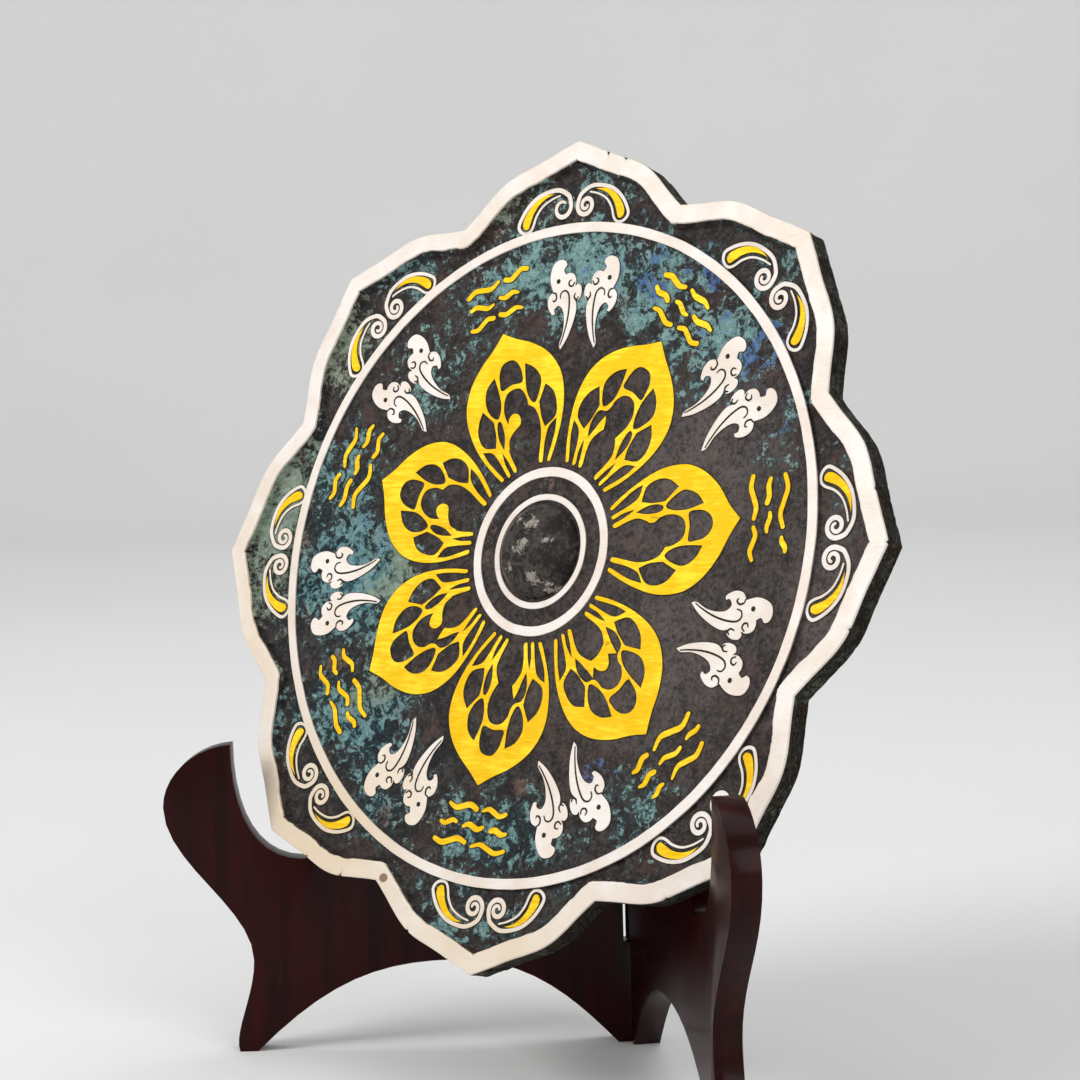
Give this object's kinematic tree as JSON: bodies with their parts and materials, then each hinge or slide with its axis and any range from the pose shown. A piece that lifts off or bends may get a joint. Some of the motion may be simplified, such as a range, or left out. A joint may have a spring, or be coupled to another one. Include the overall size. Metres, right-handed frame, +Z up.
{
  "type": "ancient bronze mirror on a folding stand",
  "caption": "Lobed bronze hand-cast mirror, its knobbed side inlaid with silver and gold, leaning in a folding lacquered wooden plate stand.",
  "frame": {"origin": "centre of the whole object's box, on the surface that the stand's feet rest on", "axes": "+Z up; -Y the way the inlaid knobbed side of the mirror faces; +X to the right as one looks at that side"},
  "size_m": [0.2538, 0.1034, 0.281],
  "materials": {
    "bronze": "dark, with green and blue patina",
    "silver": "worn satin",
    "gold": "brushed satin",
    "lacquered_wood": "dark red gloss lacquer"
  },
  "bodies": {
    "root": {"mirror_disc": "bronze", "silver_rim_band": "silver", "silver_field_ring": "silver", "silver_knob_ring_outer": "silver", "silver_knob_ring_inner": "silver", "gold_petal_1": "gold", "gold_petal_2": "gold", "gold_petal_3": "gold", "gold_petal_4": "gold", "gold_petal_5": "gold", "gold_petal_6": "gold", "gold_petal_7": "gold", "stand_board_left": "lacquered_wood", "stand_board_right": "lacquered_wood"}
  },
  "joints": []
}
